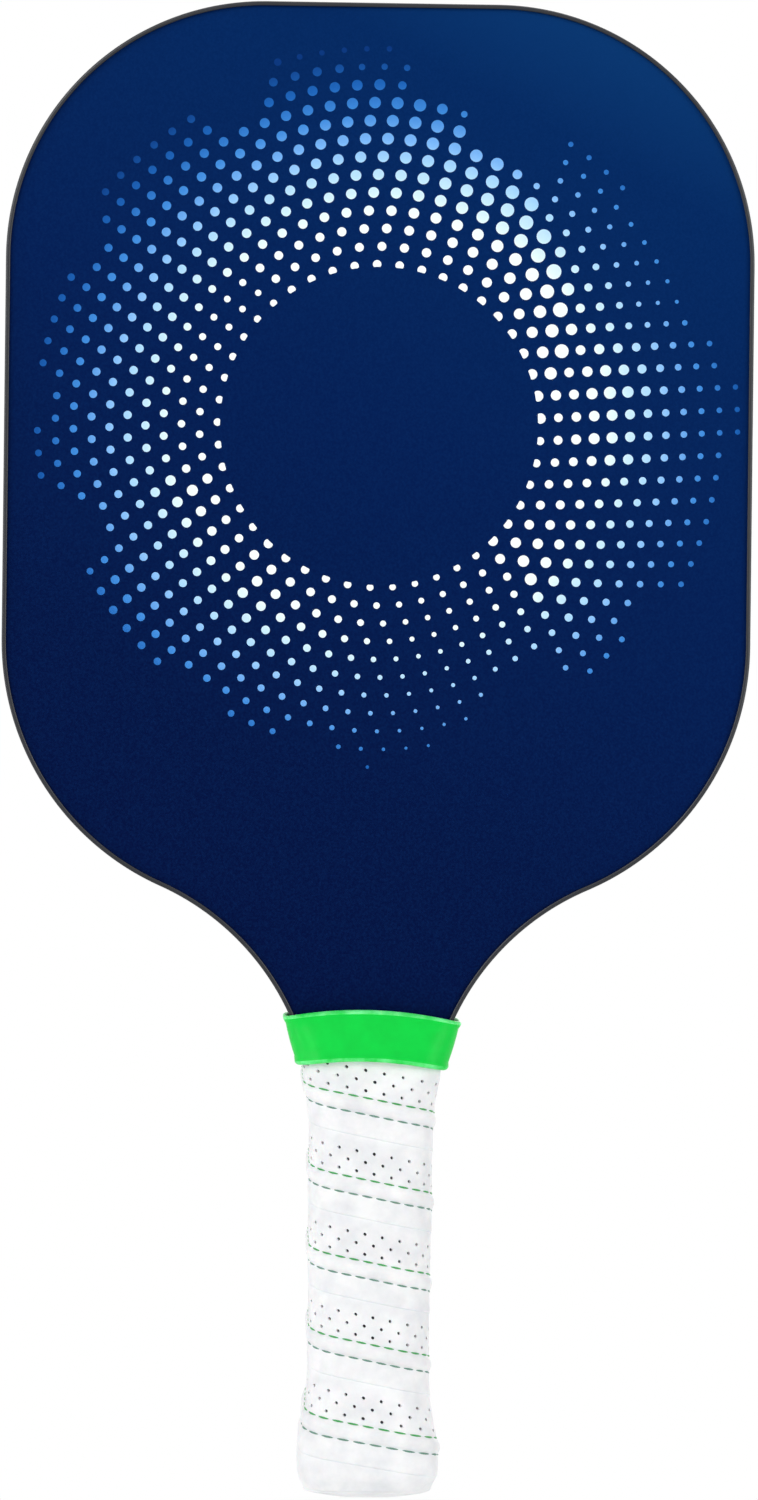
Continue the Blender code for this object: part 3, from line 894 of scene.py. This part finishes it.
@dataclass
class GripWrap:
    """Wound strip with an overlap, punched holes, a raised rib and two rows of stitches.

    The strip is laid out flat, with u along it and v across it from its upper edge, and is
    then wound down the handle from left to right over the front.

    Args:
        shape: outer shape of the handle.
        pitch: fall of the strip in one turn.
        upper_stitch: v of the stitch row above the rib.
        rib_width: distance between the stitch rows.
        stitch_height: height of the upper stitch row at the front's middle, lowest turn.
        tucked: how far the strip's top end runs on under the collar.
        pressed: share of the relief left by height, where the collar squeezes the strip.
    """

    shape: HandleShape
    finish: CushionGrip
    upper_thread: SewingThread
    lower_thread: SewingThread
    pitch: float = 22.0 * MM
    upper_stitch: float = 11.4 * MM
    rib_width: float = 4.5 * MM
    stitch_height: float = 20.3 * MM
    column: float = 0.9 * MM
    hole_radius: float = 0.45 * MM
    hole_pitch: float = 4.7 * MM
    hole_rows: tuple = (4.1 * MM, 6.8 * MM, 9.5 * MM)
    hole_depth: float = 0.8 * MM
    lowest_hole: float = 28.0 * MM
    tucked: float = 2.4 * MM
    pressed: tuple = ((0.1155, 1.0), (0.1175, 0.15))
    stitch_length: float = 3.0 * MM
    stitch_gap: float = 0.75 * MM
    thread_radius: float = 0.27 * MM
    # Thickness across the strip, in mm: (v, height over the plain shape).
    relief: tuple = ((-0.05, -1.2), (0.0, 0.10), (0.15, 0.12), (0.6, 0.14), (10.6, 0.26),
                     (11.1, 0.20), (11.4, 0.02), (11.7, 0.22), (12.3, 0.62), (13.0, 0.86),
                     (13.65, 0.92), (14.3, 0.86), (15.0, 0.62), (15.6, 0.22), (15.9, 0.02),
                     (16.2, 0.20), (16.8, 0.26), (20.6, 0.40), (21.2, 0.42), (21.7, 0.36),
                     (21.95, 0.22), (22.03, 0.12), (22.05, -1.2))
    rows: tuple = (-0.05, 0.0, 0.15, 0.6, 1.4, 2.3, 3.2, 4.1, 5.0, 5.9, 6.8, 7.7, 8.6, 9.5,
                   10.1, 10.6, 10.9, 11.1, 11.25, 11.4, 11.55, 11.7, 12.0, 12.3, 12.65, 13.0,
                   13.3, 13.65, 14.0, 14.3, 14.65, 15.0, 15.3, 15.6, 15.75, 15.9, 16.05,
                   16.2, 16.5, 16.8, 17.8, 18.9, 20.0, 21.0, 21.4, 21.7, 21.85, 21.95,
                   22.03, 22.05)

    def girth(self) -> float:
        """Length of one turn around the middle of the handle."""
        return self.shape.section(0.06).perimeter()

    def start_height(self) -> float:
        """Height of the strip's upper edge at u = 0, which is at the left side's middle."""
        turns = 5
        at_front = self.stitch_height + self.upper_stitch + self.pitch * turns
        return at_front + self.pitch / 4

    def wind(self, u: float, v: float, lift: float) -> Vector:
        """Place a point of the flat strip on the handle.

        Args:
            u: distance along the strip.
            v: distance across it, from the upper edge.
            lift: height over the plain shape.

        Returns:
            The point in the row frame.
        """
        around = u / self.girth()
        height = self.start_height() - around * self.pitch - v
        inside = min(max(height, self.foot), self.top)
        x, y, nx, ny = self.shape.section(inside).point(around)
        if lift > 0:
            lift *= interpolate(self.pressed, height)
        return Vector((x + nx * lift, y + ny * lift, height))

    def lift_at(self, v: float) -> float:
        """Relief of the strip at a distance across it."""
        return interpolate(self.relief, v / MM) * MM

    def holes(self, length: float) -> list:
        """Centres (u, v) of the punched holes, every other row staggered."""
        centres = []
        for row, v in enumerate(self.hole_rows):
            for index in range(int(length / self.hole_pitch) + 1):
                u = self.hole_pitch * (index + 0.5 * (row % 2))
                if self.wind(u, 0.0, 0.0).z > self.lowest_hole:
                    centres.append((u, v))
        return centres

    def flat_strip(self, length: float) -> tuple:
        """Lay out the strip as a flat mesh.

        Returns:
            Flat points, faces and a flag for each face that lies in a hole.
        """
        sides = 10
        flat = []
        loops = []
        for u, v in self.holes(length):
            loops.append(list(range(len(flat), len(flat) + sides)))
            for corner in range(sides):
                turn = 2 * math.pi * corner / sides
                flat.append(Vector((u + self.hole_radius * math.cos(turn),
                                    v + self.hole_radius * math.sin(turn))))
        clear = (1.5 * self.hole_radius) ** 2
        columns = int(length / self.column)
        taken = {}
        for u, v in self.holes(length):
            taken.setdefault(round(u / self.hole_pitch), []).append((u, v))
        for column in range(columns + 1):
            u = column * self.column
            near = []
            for key in range(round(u / self.hole_pitch) - 1, round(u / self.hole_pitch) + 2):
                near += taken.get(key, [])
            for row in self.rows:
                v = row * MM
                if all((u - a) ** 2 + (v - b) ** 2 > clear for a, b in near):
                    flat.append(Vector((u, v)))
        result = delaunay_2d_cdt(flat, [], loops, 0, 1e-8, True)
        in_hole = [len(owner) > 0 for owner in result[5]]
        return result[0], [list(face) for face in result[2]], in_hole

    def strip(self, length: float) -> bpy.types.Object:
        """Wind the strip, punch its holes and trim its ends."""
        flat, faces, in_hole = self.flat_strip(length)
        points = [self.wind(point.x, point.y, self.lift_at(point.y)) for point in flat]
        mesh = bpy.data.meshes.new("grip_strip")
        mesh.from_pydata([tuple(point) for point in points], [], faces)
        mesh.materials.append(self.finish.material())
        mesh.materials.append(self.finish.hole())
        edit = bmesh.new()
        edit.from_mesh(mesh)
        edit.faces.ensure_lookup_table()
        floor_faces = [face for face, hole in zip(edit.faces, in_hole) if hole]
        self.punch(edit, floor_faces)
        self.trim(edit)
        bmesh.ops.recalc_face_normals(edit, faces=edit.faces)
        self.face_out(edit)
        edit.to_mesh(mesh)
        edit.free()
        mesh.shade_smooth()
        mesh.set_sharp_from_angle(angle=math.radians(55))
        piece = bpy.data.objects.new("grip_strip", mesh)
        bpy.context.scene.collection.objects.link(piece)
        return piece

    def punch(self, edit: bmesh.types.BMesh, floors: list) -> None:
        """Sink the faces inside the holes, leaving walls."""
        made = bmesh.ops.extrude_face_region(edit, geom=floors)
        sunk = [item for item in made["geom"] if isinstance(item, bmesh.types.BMVert)]
        for vertex in sunk:
            flat = Vector((vertex.co.x, vertex.co.y, 0.0))
            vertex.co -= flat.normalized() * self.hole_depth
        for item in made["geom"]:
            if isinstance(item, bmesh.types.BMFace):
                item.material_index = 1
        bmesh.ops.delete(edit, geom=floors, context="FACES")

    def trim(self, edit: bmesh.types.BMesh) -> None:
        """Cut the winding level at the grip's two ends and turn the cut edges in."""
        for height, normal in ((self.foot, (0, 0, -1)), (self.top, (0, 0, 1))):
            geometry = edit.verts[:] + edit.edges[:] + edit.faces[:]
            cut = bmesh.ops.bisect_plane(edit, geom=geometry, plane_co=(0, 0, height),
                                         plane_no=normal, clear_outer=True)
            rim = [item for item in cut["geom_cut"] if isinstance(item, bmesh.types.BMEdge)]
            made = bmesh.ops.extrude_edge_only(edit, edges=rim)
            for item in made["geom"]:
                if isinstance(item, bmesh.types.BMVert):
                    flat = Vector((item.co.x, item.co.y, 0.0))
                    item.co -= flat.normalized() * 1.0 * MM

    def face_out(self, edit: bmesh.types.BMesh) -> None:
        """Turn the whole strip's normals away from the handle's axis."""
        total = 0.0
        for face in edit.faces:
            centre = face.calc_center_median()
            total += face.normal.x * centre.x + face.normal.y * centre.y
        if total < 0:
            bmesh.ops.reverse_faces(edit, faces=edit.faces)

    def stitches(self, name: str, v: float, length: float, thread: SewingThread,
                 shift: float) -> bpy.types.Object:
        """One row of stitches as short threads that dive in at their ends."""
        around_steps = 7
        along_steps = 8
        points = []
        faces = []
        spacing = self.stitch_length + self.stitch_gap
        for index in range(int(length / spacing)):
            start = index * spacing + shift
            height = self.wind(start, v, 0.0).z
            if not self.foot + 1.0 * MM < height < self.top - 1.0 * MM:
                continue
            rings = []
            for step in range(along_steps + 1):
                share = step / along_steps
                u = start + share * self.stitch_length
                bulge = math.sin(math.pi * share) ** 0.45 if 0 < share < 1 else 0.0
                radius = self.thread_radius * max(0.35, bulge)
                sink = self.lift_at(v) + (0.9 * bulge - 0.45) * self.thread_radius
                ring = []
                for corner in range(around_steps):
                    turn = 2 * math.pi * corner / around_steps
                    ring.append(self.wind(u, v + radius * math.cos(turn),
                                          sink + radius * math.sin(turn)))
                rings.append(ring)
            ring_points, ring_faces = skin_rings(rings, closed=False)
            base = len(points)
            points += ring_points
            faces += [tuple(base + corner for corner in face) for face in ring_faces]
        return make_piece(name, points, faces, [thread.material()], None, 60.0)

    def build(self) -> None:
        """Build the strip and its stitches."""
        low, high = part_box("grip_wrap")
        self.foot = low.z
        self.top = high.z + self.tucked
        turns = (self.start_height() - self.foot) / self.pitch + 0.3
        length = turns * self.girth()
        place(self.strip(length), "grip", ("grip_wrap",))
        upper = self.stitches("grip_upper_stitches", self.upper_stitch, length,
                              self.upper_thread, 0.4 * MM)
        place(upper, "grip")
        lower = self.stitches("grip_lower_stitches", self.upper_stitch + self.rib_width,
                              length, self.lower_thread, 2.1 * MM)
        place(lower, "grip")


@dataclass
class ButtCap:
    """Moulded cup on the end of the handle; only its flat end and its rim show.

    Args:
        shape: outer shape of the grip, which the cap lies under.
        finish: plastic finish.
        end_half_width: half the width of the flat end.
        end_half_depth: half its depth.
        under: how far the cap lies inside the grip's outer shape.
    """

    shape: HandleShape
    finish: MouldedPlastic
    end_half_width: float = 9.2 * MM
    end_half_depth: float = 8.2 * MM
    under: float = 1.7 * MM
    floor: float = 3.0 * MM
    wall_clear: float = 0.3 * MM
    steps: int = 128

    def build(self) -> bpy.types.Object:
        """Build the cup from rings: end, dome, flange, flared side, rim and room inside."""
        low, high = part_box("butt_cap")
        core_low, core_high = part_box("handle_pallet_front")
        rim = HandleSection(17.35 * MM, 16.05 * MM, 8.6 * MM)
        end = HandleSection(self.end_half_width, self.end_half_depth, 5.5 * MM)
        room = HandleSection(core_high.x + self.wall_clear,
                             abs(core_low.y) + self.wall_clear, 6.1 * MM)
        rings = [end.grown(-0.5 * MM).ring(low.z, self.steps), end.ring(low.z, self.steps)]
        for share, rise in ((0.12, 0.15), (0.35, 0.62), (0.62, 1.2), (0.86, 1.75)):
            section = HandleSection(end.half_width + share * (rim.half_width - end.half_width),
                                    end.half_depth + share * (rim.half_depth - end.half_depth),
                                    end.radius + share * (rim.radius - end.radius))
            rings.append(section.ring(low.z + rise * MM, self.steps))
        rings.append(rim.grown(-0.25 * MM).ring(low.z + 2.12 * MM, self.steps))
        rings.append(rim.ring(low.z + 2.4 * MM, self.steps))
        rings.append(rim.grown(-0.05 * MM).ring(low.z + 2.98 * MM, self.steps))
        for height in (3.0, 4.6, 7.3, 10.0, 12.7, 16.5, 20.8, 24.0):
            section = self.shape.section(height * MM).grown(-self.under)
            rings.append(section.ring(height * MM, self.steps))
        rings.append(room.grown(0.7 * MM).ring(high.z, self.steps))
        rings.append(room.ring(high.z, self.steps))
        rings.append(room.ring(low.z + self.floor, self.steps))
        points, faces = skin_rings(rings, closed=False)
        piece = make_piece("butt_cap_moulding", points, faces, [self.finish.material()])
        place(piece, "cap", ("butt_cap",))
        return piece


@dataclass
class ThroatCollar:
    """Stretched silicone band with a rolled bead at each end, pushed up the neck.

    Args:
        finish: silicone finish.
        foot: section of the band's middle surface at its foot.
        waist: section at its waist.
        top: section at its top.
        bead: radius of the rolled beads.
        wall: thickness of the band between them.
        arch_foot: how much higher the foot lies at the middle of a face than at its sides.
        arch_top: the same for the top.
        tilt: fall from left to right over the whole width.
        foot_lift: how much higher the foot rides than the frame's band.
        skew: how far the foot has been rolled to the left of the top.
    """

    finish: Silicone
    foot: HandleSection = HandleSection(19.7 * MM, 15.5 * MM, 6.8 * MM)
    waist: HandleSection = HandleSection(22.0 * MM, 13.4 * MM, 7.0 * MM)
    top: HandleSection = HandleSection(23.5 * MM, 10.3 * MM, 4.0 * MM)
    bead: float = 0.80 * MM
    wall: float = 0.6 * MM
    arch_foot: float = 1.9 * MM
    arch_top: float = 2.5 * MM
    tilt: float = 1.1 * MM
    foot_lift: float = 0.5 * MM
    skew: float = 0.1 * MM
    steps: int = 180

    def section(self, share: float) -> HandleSection:
        """Section at a share of the way up, through foot, waist and top."""
        first, second, third = self.foot, self.waist, self.top
        weights = ((1 - share) * (1 - 2 * share), 4 * share * (1 - share),
                   share * (2 * share - 1))
        sizes = []
        for name in ("half_width", "half_depth", "radius"):
            values = (getattr(first, name), getattr(second, name), getattr(third, name))
            sizes.append(sum(w * value for w, value in zip(weights, values)))
        return HandleSection(*sizes)

    def profile(self, height: float) -> list:
        """Closed section of the band as (share of the height, offset) points."""
        points = []
        for step in range(9):
            angle = math.radians(200 + 180 * step / 8)
            points.append((self.bead * (1 + math.sin(angle)), self.bead * math.cos(angle)))
        for share in (0.16, 0.3, 0.5, 0.7, 0.84):
            points.append((share * height, self.wall / 2))
        for step in range(9):
            angle = math.radians(-20 + 180 * step / 8)
            points.append((height - self.bead * (1 - math.sin(angle)),
                           self.bead * math.cos(angle)))
        for share in (0.84, 0.7, 0.5, 0.3, 0.16):
            points.append((share * height, -self.wall / 2))
        return [(rise / height, offset) for rise, offset in points]

    def build(self) -> bpy.types.Object:
        """Build the band as a closed ring."""
        low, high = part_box("throat_collar")
        height = high.z - low.z
        rings = []
        for share, offset in self.profile(height):
            section = self.section(share).grown(offset)
            ring = []
            for x, y, z in section.ring(low.z + share * height, self.steps):
                across = x / section.half_width
                arch = self.arch_foot + share * (self.arch_top - self.arch_foot)
                lift = arch * (0.62 - across ** 2) - self.tilt * across / 2
                lift += self.foot_lift * (1 - share)
                ring.append((x - self.skew * (1 - share), y, z + lift))
            rings.append(ring)
        points, faces = skin_rings(rings, closed=True)
        # The bead rows take the paler green, a painted highlight along both rims.
        bead_rows = [*range(0, 8), *range(14, 22)]
        slots = [1 if index // self.steps in bead_rows else 0 for index in range(len(faces))]
        materials = [self.finish.material(), self.finish.bead_material()]
        piece = make_piece("throat_collar_band", points, faces, materials, slots)
        place(piece, "silicone", ("throat_collar",))
        return piece


@dataclass
class HiddenParts:
    """Carried-over CAD nodes that the skins, grip and collar cover."""

    frame: dict

    def dress(self) -> None:
        """Give each hidden node its real material."""
        polypropylene = MouldedPlastic("polypropylene honeycomb", "#E8E8E2", "#DCDCD4", 0.5,
                                       subsurface=0.2).material()
        foam = MouldedPlastic("moulded handle foam", "#8F8C86", "#7E7B75", 0.85,
                              grain=0.6 * MM, depth=0.15 * MM).material()
        tape = MouldedPlastic("elastic finishing tape", "#1B1B1D", "#232326", 0.5).material()
        zinc = ZincWire().material()
        finishes = {"honeycomb_core": polypropylene, "handle_pallet_front": foam,
                    "handle_pallet_back": foam, "finishing_tape": tape,
                    "butt_staple_front": zinc, "butt_staple_back": zinc}
        for name, material in finishes.items():
            node = self.frame["nodes"][name]
            node.data.materials.clear()
            node.data.materials.append(material)
            LOG.info("%s: dressed in %s", name, material.name)


# Studio


@dataclass
class Studio:
    """White studio: a pale floor, large soft lights and a long lens straight at the face.

    Args:
        low: lowest corner of the paddle.
        high: highest corner of the paddle.
        distance: from the camera to the paddle.
        azimuth: camera's turn to the paddle's right, in degrees.
        lean: paddle's lean in the picture, in degrees.
        frame_height: height of the picture at the paddle.
        aim_right: how far right of the paddle's middle the camera aims.
        drop: how far the floor lies under the paddle.
        shadow_reach: distance up to which the floor shows its shadow.
        white_reach: distance from which it shows plain white.
    """

    low: Vector
    high: Vector
    distance: float = 1.2
    azimuth: float = -1.5
    lean: float = 0.662
    frame_height: float = 0.4088
    aim_right: float = 1.15 * MM
    drop: float = 0.12
    shadow_reach: float = 0.30
    white_reach: float = 0.65

    def show_white(self, tree: bpy.types.NodeTree, shaded, output, mask=None) -> None:
        """Show white to camera, mirror and glass rays, and the lit surface to all others.

        Args:
            tree: node tree of the floor or the world.
            shaded: socket of the lit shader.
            output: the tree's output socket.
            mask: socket that is 0 where the lit surface shows to the camera too.
        """
        path = tree.nodes.new("ShaderNodeLightPath")
        seen = path.outputs["Is Camera Ray"]
        for name in ("Is Glossy Ray", "Is Transmission Ray"):
            either = tree.nodes.new("ShaderNodeMath")
            either.operation = "MAXIMUM"
            tree.links.new(seen, either.inputs[0])
            tree.links.new(path.outputs[name], either.inputs[1])
            seen = either.outputs[0]
        if mask is not None:
            masked = tree.nodes.new("ShaderNodeMath")
            masked.operation = "MULTIPLY"
            tree.links.new(seen, masked.inputs[0])
            tree.links.new(mask, masked.inputs[1])
            seen = masked.outputs[0]
        white = tree.nodes.new("ShaderNodeEmission")
        mix = tree.nodes.new("ShaderNodeMixShader")
        tree.links.new(seen, mix.inputs[0])
        tree.links.new(shaded, mix.inputs[1])
        tree.links.new(white.outputs[0], mix.inputs[2])
        tree.links.new(mix.outputs[0], output)

    def build_floor(self) -> None:
        """Large pale floor: shaded near the paddle, white far off and clear from underneath."""
        half = 6.0
        level = self.low.z - self.drop
        corners = [(-half, -half, level), (half, -half, level), (half, half, level),
                   (-half, half, level)]
        shader = Shader("pale studio floor")
        away = shader.add("ShaderNodeVectorMath", {0: shader.position()},
                          {"operation": "LENGTH"})
        far = shader.add("ShaderNodeMapRange", {"Value": away.outputs["Value"]},
                         {"interpolation_type": "SMOOTHSTEP"})
        far.inputs["From Min"].default_value = self.shadow_reach
        far.inputs["From Max"].default_value = self.white_reach
        shader.finish("#FAFAFA", 0.8)
        under = shader.add("ShaderNodeMixShader")
        shader.tree.links.new(shader.add("ShaderNodeNewGeometry").outputs["Backfacing"],
                              under.inputs[0])
        clear = shader.add("ShaderNodeBsdfTransparent")
        shader.tree.links.new(clear.outputs[0], under.inputs[2])
        shader.tree.links.new(under.outputs[0],
                              shader.tree.nodes["Material Output"].inputs["Surface"])
        self.show_white(shader.tree, shader.surface.outputs[0], under.inputs[1],
                        far.outputs[0])
        mesh = bpy.data.meshes.new("studio_floor")
        mesh.from_pydata(corners, [], [(0, 1, 2, 3)])
        mesh.materials.append(shader.material)
        floor = bpy.data.objects.new("studio_floor", mesh)
        bpy.context.scene.collection.objects.link(floor)
        floor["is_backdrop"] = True

    def build_world(self) -> None:
        """White surroundings that light the paddle softly."""
        world = bpy.data.worlds.new("white studio")
        bpy.context.scene.world = world
        world.use_nodes = True
        tree = world.node_tree
        soft = tree.nodes["Background"]
        soft.inputs["Color"].default_value = linear("#F9FAFA")
        soft.inputs["Strength"].default_value = 0.40
        self.show_white(tree, soft.outputs[0], tree.nodes["World Output"].inputs["Surface"])

    def add_light(self, name: str, place_at: tuple, size: tuple, power: float) -> None:
        """Soft box aimed at the paddle's middle."""
        data = bpy.data.lights.new(name, "AREA")
        data.shape = "RECTANGLE"
        data.size, data.size_y = size
        data.energy = power
        light = bpy.data.objects.new(name, data)
        middle = (self.low + self.high) / 2
        light.location = middle + Vector(place_at)
        light.rotation_euler = (middle - light.location).to_track_quat("-Z", "Y").to_euler()
        bpy.context.scene.collection.objects.link(light)

    def build_lights(self) -> None:
        """Key from the upper left, fill from the right, and a strip for the left edge."""
        self.add_light("key softbox", (-1.1, -1.2, 1.0), (1.2, 1.2), 14.6)
        self.add_light("fill softbox", (1.3, -1.1, 0.4), (1.0, 1.4), 11.6)
        self.add_light("left strip", (-1.4, -0.25, 0.0), (0.3, 1.4), 6.0)
        self.add_light("back softbox", (0.7, 1.5, 0.5), (1.2, 1.2), 9.0)
        self.add_light("top strip", (0.2, 0.2, 1.4), (1.2, 0.4), 4.0)

    def build_camera(self) -> None:
        """Camera level with the paddle's middle, rolled by the paddle's lean."""
        data = bpy.data.cameras.new("product camera")
        data.sensor_fit = "VERTICAL"
        data.sensor_height = 24.0
        data.lens = data.sensor_height * self.distance / self.frame_height
        data.clip_end = 50.0
        camera = bpy.data.objects.new("product camera", data)
        aim = Vector((self.aim_right, 0.0, (self.low.z + self.high.z) / 2))
        turn = math.radians(self.azimuth)
        back = Vector((math.sin(turn), -math.cos(turn), 0.0))
        camera.location = aim + back * self.distance
        look = (aim - camera.location).to_track_quat("-Z", "Y").to_matrix().to_4x4()
        roll = Matrix.Rotation(math.radians(self.lean), 4, "Z")
        camera.matrix_world = Matrix.Translation(camera.location) @ look @ roll
        bpy.context.scene.collection.objects.link(camera)
        bpy.context.scene.camera = camera

    def build(self) -> None:
        """Set up the whole studio and the plain view transform."""
        self.build_floor()
        self.build_world()
        self.build_lights()
        self.build_camera()
        bpy.context.scene.view_settings.view_transform = "Standard"


def main() -> None:
    """Load the frame, build every sub-assembly on it and set up the studio."""
    logging.basicConfig(level=logging.INFO, format="%(message)s")
    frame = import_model()
    cad_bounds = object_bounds()
    low, high = Vector(cad_bounds[0]), Vector(cad_bounds[1])
    outline = PaddleOutline(length=high.z - low.z, width=high.x - low.x)
    ring = HalftoneRing()
    for side in Side:
        FaceSkin(side, outline, PrintedFace(), ring).build()
    guard_plastic = MouldedPlastic("satin black guard plastic", "#10131A", "#171A22", 0.34)
    EdgeGuard(outline, guard_plastic).build()
    shape = HandleShape()
    upper = SewingThread("bright green thread", "#3BAA50", "#2C9044")
    lower = SewingThread("green thread in the rib's shade", "#6E9A88", "#58806F")
    GripWrap(shape, CushionGrip(), upper, lower).build()
    cap_plastic = MouldedPlastic("white cap plastic", "#F2F2F3", "#E8E9EB", 0.45,
                                 subsurface=0.1)
    ButtCap(shape, cap_plastic).build()
    ThroatCollar(Silicone()).build()
    HiddenParts(frame).dress()
    Studio(low, high).build()


if __name__ == "__main__":
    main()
